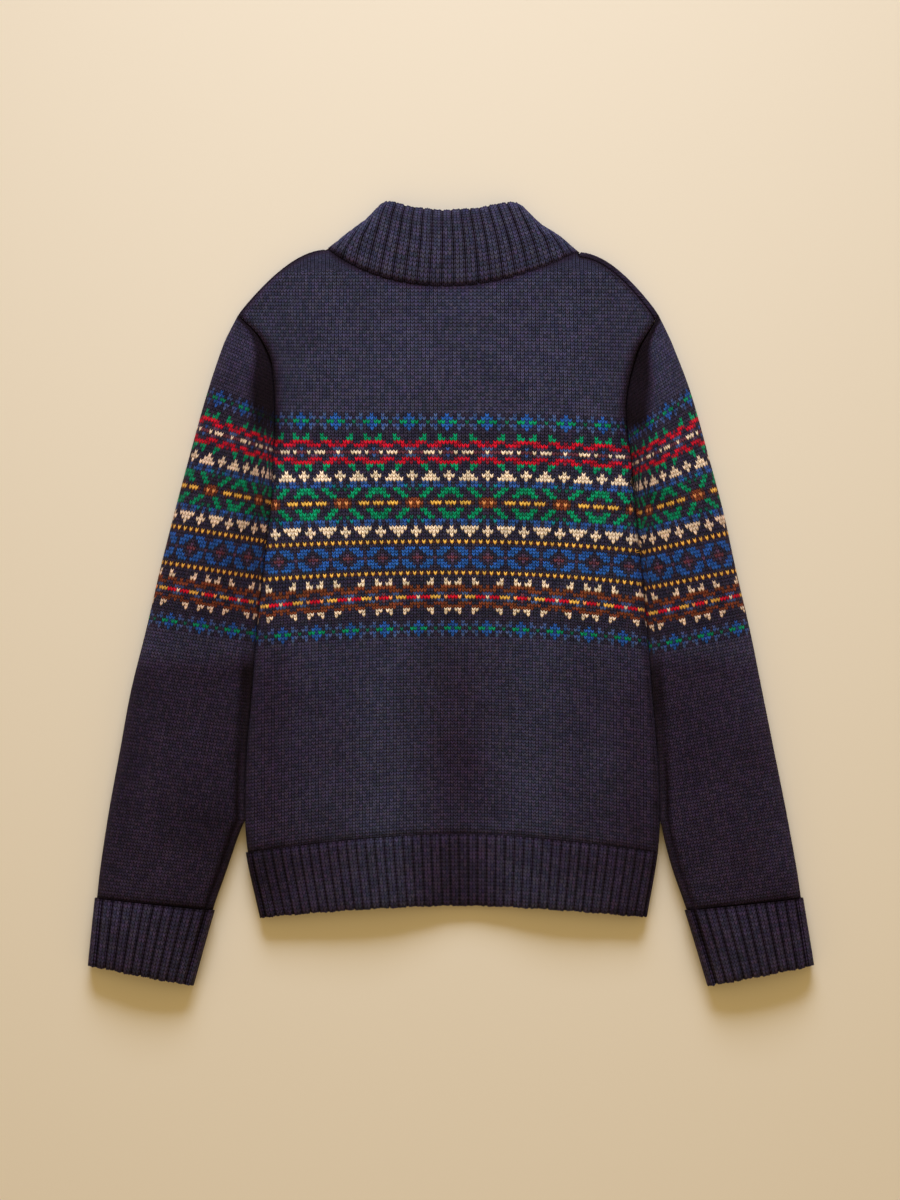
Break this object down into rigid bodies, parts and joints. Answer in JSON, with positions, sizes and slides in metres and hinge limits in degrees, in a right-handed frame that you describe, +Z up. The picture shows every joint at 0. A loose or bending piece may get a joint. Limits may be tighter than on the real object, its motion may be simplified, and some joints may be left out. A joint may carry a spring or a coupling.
{
  "type": "fair isle jumper",
  "caption": "Child's knitted jumper with a patterned band and ribbed collar, hem and cuffs, laid flat with its back upwards.",
  "frame": {"origin": "on the surface it lies on, under the middle of the laid out jumper", "axes": "+Y from the hem to the collar, +X to the right as seen from above, +Z up from the surface; the back of the jumper faces up"},
  "size_m": [0.543, 0.5899, 0.0215],
  "materials": {
    "patterned_knit": "navy stocking stitch with a band of many-coloured traditional motifs, soft and matt, lightly fuzzy",
    "rib_knit": "navy two-by-one rib, soft and matt"
  },
  "bodies": {
    "root": {"back": "patterned_knit", "front": "patterned_knit", "sleeve_left": "patterned_knit", "sleeve_right": "patterned_knit", "hem_band_back": "rib_knit", "hem_band_front": "rib_knit", "cuff_left": "rib_knit", "cuff_right": "rib_knit", "collar": "rib_knit"}
  },
  "joints": []
}
